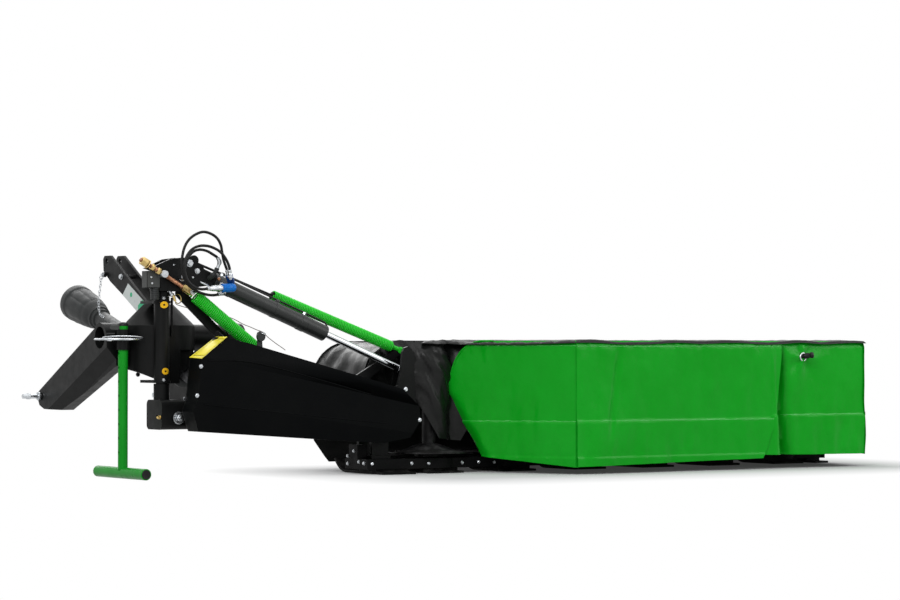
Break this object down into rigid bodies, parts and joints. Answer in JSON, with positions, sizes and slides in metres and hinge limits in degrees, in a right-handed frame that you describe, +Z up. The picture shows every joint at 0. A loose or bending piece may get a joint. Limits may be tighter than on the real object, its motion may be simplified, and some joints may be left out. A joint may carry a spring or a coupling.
{
  "type": "rear-mounted disc mower",
  "caption": "Rear-mounted disc mower: headstock with swing post, belt-driven folding cutterbar with spinning discs, curtained cover, lift cylinder, relief springs and parking stand.",
  "frame": {"origin": "the middle of the footprint, on the floor", "axes": "+X outwards along the cutterbar, away from the hitch's centre plane; +Y forwards, towards the tractor; +Z up"},
  "size_m": [3.8464, 1.9884, 1.051],
  "materials": {
    "black_paint": "semi-gloss black powder coat",
    "green_paint": "bright green gloss paint",
    "bright_zinc": "bright zinc plating",
    "raw_steel": "dark forged steel",
    "copper_thread": "copper-coloured greased thread",
    "chrome_rod": "hard chrome",
    "hose_rubber": "black hydraulic hose",
    "dark_plastic": "dark grey plastic",
    "guard_plastic": "black moulded guard",
    "casting_paint": "black paint on castings",
    "skid_steel": "black wear sole",
    "black_sheet": "glossy coated fabric, black",
    "green_sheet": "glossy coated fabric, green",
    "disc_steel": "dark painted steel"
  },
  "bodies": {
    "headstock": {"cross_tube": "black_paint", "left_hitch_arm": "black_paint", "right_hitch_arm": "black_paint", "left_link_pin": "bright_zinc", "right_link_pin": "bright_zinc", "top_link_mast": "black_paint", "swing_tower": "black_paint", "stand_collar": "black_paint", "collar_pin": "bright_zinc", "lock_lever": "bright_zinc", "drive_shaft_guard": "dark_plastic", "guard_chain": "bright_zinc"},
    "stand": {"parking_stand": "green_paint"},
    "drive_shaft": {"drive_yoke": "raw_steel", "drive_shaft_joint": "raw_steel"},
    "swing_arm": {"swing_post": "black_paint", "rocker_block": "black_paint", "post_head": "black_paint", "spring_adjuster": "copper_thread", "lift_hose": "hose_rubber", "return_hose": "hose_rubber"},
    "beam": {"main_beam": "black_paint", "belt_guard": "guard_plastic", "belt_backplate": "black_paint", "joint_cone": "dark_plastic", "rocker_pin": "bright_zinc", "rope_pulley": "dark_plastic"},
    "bar": {"fold_frame": "black_paint", "gearbox": "casting_paint", "cutterbar": "casting_paint", "inner_skid": "skid_steel", "outer_skid": "skid_steel", "cover_frame": "black_paint", "top_cover": "black_sheet", "front_curtain": "black_sheet", "inner_curtain": "green_sheet", "rear_curtain": "green_sheet", "corner_curtain": "green_sheet", "outer_curtain": "green_sheet"},
    "lift_barrel_body": {"lift_barrel": "black_paint"},
    "lift_rod_body": {"lift_rod": "chrome_rod"},
    "long_rod_body": {"long_spring_rod": "bright_zinc"},
    "long_spring_body": {"long_spring": "green_paint"},
    "short_spring_body": {"short_spring": "green_paint"},
    "short_rod_body": {"short_spring_rod": "bright_zinc"},
    "disc_1_body": {"disc_1": "disc_steel"},
    "disc_2_body": {"disc_2": "disc_steel"},
    "disc_3_body": {"disc_3": "disc_steel"},
    "disc_4_body": {"disc_4": "disc_steel"},
    "disc_5_body": {"disc_5": "disc_steel"},
    "disc_6_body": {"disc_6": "disc_steel"}
  },
  "joints": [
    {"name": "stand_slide", "type": "slide", "parent": "headstock", "child": "stand", "axis": [0, 0, 1], "range_m": [0, 0.36]},
    {"name": "beam_swing", "type": "hinge", "parent": "headstock", "child": "swing_arm", "pos_m": [-1.59775, -0.34324, 0.588], "axis": [0, 0, -1], "range_deg": [0, 30]},
    {"name": "beam_rock", "type": "hinge", "parent": "swing_arm", "child": "beam", "pos_m": [-1.55875, -0.34324, 0.258], "axis": [0, -1, 0], "range_deg": [-1.5, 10]},
    {"name": "bar_fold", "type": "hinge", "parent": "beam", "child": "bar", "pos_m": [-0.57275, -0.38324, 0.27], "axis": [0, -1, 0], "range_deg": [-12, 80]},
    {"name": "lift_tilt", "type": "hinge", "parent": "swing_arm", "child": "lift_barrel_body", "pos_m": [-1.45975, -0.36324, 0.88], "axis": [0, -1, 0], "range_deg": [-0.5, 2.2]},
    {"name": "lift_extend", "type": "slide", "parent": "lift_barrel_body", "child": "lift_rod_body", "axis": [0.9272, 0, -0.3746], "range_m": [-0.401, 0.0602]},
    {"name": "long_tilt", "type": "hinge", "parent": "swing_arm", "child": "long_rod_body", "pos_m": [-1.43775, -0.29824, 0.928], "axis": [0, -1, 0], "range_deg": [-1.5, 9.5]},
    {"name": "long_slide", "type": "slide", "parent": "long_rod_body", "child": "long_spring_body", "axis": [0.9399, 0, -0.3414], "range_m": [-0.1185, 0.018]},
    {"name": "short_tilt", "type": "hinge", "parent": "swing_arm", "child": "short_spring_body", "pos_m": [-1.49875, -0.41824, 0.79], "axis": [0, -1, 0], "range_deg": [-0.8, 4.8]},
    {"name": "short_slide", "type": "slide", "parent": "short_spring_body", "child": "short_rod_body", "axis": [0.7991, 0, -0.6012], "range_m": [-0.083, 0.0127]},
    {"name": "shaft_spin", "type": "hinge", "parent": "headstock", "child": "drive_shaft", "pos_m": [-1.36275, -0.20324, 0.41], "axis": [0, 0.9568, 0.2907], "continuous": true},
    {"name": "disc_1_spin", "type": "hinge", "parent": "bar", "child": "disc_1_body", "pos_m": [-0.29275, -0.40324, 0.09], "axis": [0, 0, 1], "continuous": true},
    {"name": "disc_2_spin", "type": "hinge", "parent": "bar", "child": "disc_2_body", "pos_m": [0.09725, -0.40324, 0.09], "axis": [0, 0, 1], "continuous": true},
    {"name": "disc_3_spin", "type": "hinge", "parent": "bar", "child": "disc_3_body", "pos_m": [0.48725, -0.40324, 0.09], "axis": [0, 0, 1], "continuous": true},
    {"name": "disc_4_spin", "type": "hinge", "parent": "bar", "child": "disc_4_body", "pos_m": [0.87725, -0.40324, 0.09], "axis": [0, 0, 1], "continuous": true},
    {"name": "disc_5_spin", "type": "hinge", "parent": "bar", "child": "disc_5_body", "pos_m": [1.26725, -0.40324, 0.09], "axis": [0, 0, 1], "continuous": true},
    {"name": "disc_6_spin", "type": "hinge", "parent": "bar", "child": "disc_6_body", "pos_m": [1.65725, -0.40324, 0.09], "axis": [0, 0, 1], "continuous": true}
  ],
  "couplings": [
    {"joint": "beam_rock", "follows": "bar_fold", "ratio": 0.125},
    {"joint": "lift_tilt", "follows": "bar_fold", "ratio": 0.025},
    {"joint": "lift_extend", "follows": "bar_fold", "m_per_rad": -0.28648},
    {"joint": "long_tilt", "follows": "bar_fold", "ratio": 0.11812},
    {"joint": "long_slide", "follows": "bar_fold", "m_per_rad": -0.084655},
    {"joint": "short_tilt", "follows": "bar_fold", "ratio": 0.05925},
    {"joint": "short_slide", "follows": "bar_fold", "m_per_rad": -0.059015},
    {"joint": "shaft_spin", "follows": "disc_1_spin", "ratio": 0.18},
    {"joint": "disc_2_spin", "follows": "disc_1_spin", "ratio": -1},
    {"joint": "disc_3_spin", "follows": "disc_1_spin", "ratio": 1},
    {"joint": "disc_4_spin", "follows": "disc_1_spin", "ratio": -1},
    {"joint": "disc_5_spin", "follows": "disc_1_spin", "ratio": 1},
    {"joint": "disc_6_spin", "follows": "disc_1_spin", "ratio": -1}
  ]
}
